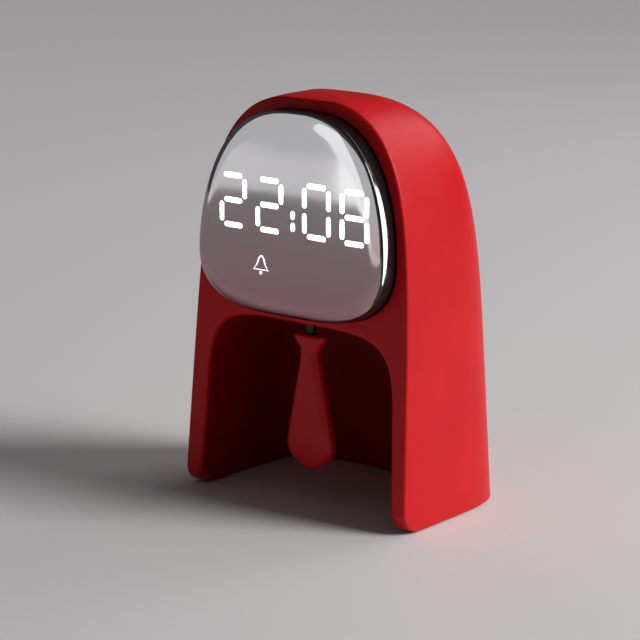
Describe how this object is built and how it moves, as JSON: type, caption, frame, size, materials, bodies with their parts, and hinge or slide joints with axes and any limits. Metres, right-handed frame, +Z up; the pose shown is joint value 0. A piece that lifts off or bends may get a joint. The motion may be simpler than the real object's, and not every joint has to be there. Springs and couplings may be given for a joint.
{
  "type": "table alarm clock",
  "caption": "Arch-shaped digital table clock with a half-mirror display in its head, a necktie-shaped pendulum in the niche below, and set buttons on the back.",
  "frame": {"origin": "on the table under the middle of the bounding box", "axes": "+Z up, the display faces -Y, +X to the right seen from the front"},
  "size_m": [0.104, 0.0716, 0.1506],
  "materials": {
    "casing_red": "satin moulded plastic",
    "liner_red": "satin moulded plastic",
    "tie_red": "satin moulded plastic",
    "foot_rubber": "soft matt rubber",
    "screw_steel": "zinc-plated steel",
    "half_mirror": "half-silvered coating on clear plastic",
    "seal_foam": "black adhesive foam",
    "black_plastic": "fine matt black",
    "light_pipe": "lit white plastic",
    "dark_pipe": "unlit smoked plastic",
    "copper_foil": "bare copper",
    "spring_wire": "plated spring wire",
    "led_white": "small light-emitting diodes",
    "board_green": "solder-masked circuit board",
    "cell_steel": "nickel-plated can",
    "socket_steel": "nickel-plated shell",
    "cable_white": "flat flexible cable",
    "coil_copper": "enamelled copper wire",
    "core_iron": "soft iron",
    "magnet_nickel": "nickel-plated magnet"
  },
  "bodies": {
    "casing": {"housing": "casing_red", "niche_liner": "liner_red", "base_ring": "liner_red", "rubber_feet": "foot_rubber", "rear_cover": "casing_red", "cover_screws": "screw_steel", "mirror_lens": "half_mirror", "lens_gasket": "seal_foam", "display_bezel": "black_plastic", "digit_block": "black_plastic", "digit_1": "light_pipe", "digit_2": "light_pipe", "digit_3": "light_pipe", "digit_4": "light_pipe", "colon_dots": "light_pipe", "unlit_segments": "dark_pipe", "touch_symbol": "light_pipe", "touch_pad": "copper_foil", "touch_spring": "spring_wire", "display_leds": "led_white", "display_board": "board_green", "display_screws": "screw_steel", "display_tray": "black_plastic", "tray_screws": "screw_steel", "main_board": "board_green", "board_screws": "screw_steel", "clock_chip": "black_plastic", "tact_switches": "black_plastic", "slide_switch": "socket_steel", "cell_holder": "black_plastic", "coin_cell": "cell_steel", "sounder": "black_plastic", "usb_socket": "socket_steel", "display_cable": "cable_white", "cable_sockets": "cable_white", "drive_coil": "coil_copper", "coil_core": "core_iron", "pendulum_bracket": "screw_steel", "bracket_screws": "screw_steel", "pivot_pin": "screw_steel"},
    "pendulum": {"pendulum_arm": "black_plastic", "drive_magnet": "magnet_nickel", "tie_front": "tie_red", "tie_back": "tie_red"},
    "set_button": {"set_button": "black_plastic"},
    "plus_button": {"plus_button": "black_plastic"},
    "minus_button": {"minus_button": "black_plastic"},
    "alarm_slider": {"alarm_slider": "black_plastic"}
  },
  "joints": [
    {"name": "pendulum_swing", "type": "hinge", "parent": "casing", "child": "pendulum", "pos_m": [0, -0.01976, 0.0772], "axis": [0, 1, 0], "range_deg": [-10, 10]},
    {"name": "set_press", "type": "slide", "parent": "casing", "child": "set_button", "axis": [0, -1, 0], "range_m": [0, 0.0006], "stiffness_N_per_m": 400, "springref_m": -0.002},
    {"name": "plus_press", "type": "slide", "parent": "casing", "child": "plus_button", "axis": [0, -1, 0], "range_m": [0, 0.0006], "stiffness_N_per_m": 400, "springref_m": -0.002},
    {"name": "minus_press", "type": "slide", "parent": "casing", "child": "minus_button", "axis": [0, -1, 0], "range_m": [0, 0.0006], "stiffness_N_per_m": 400, "springref_m": -0.002},
    {"name": "alarm_slide", "type": "slide", "parent": "casing", "child": "alarm_slider", "axis": [1, 0, 0], "range_m": [0, 0.0036]}
  ]
}
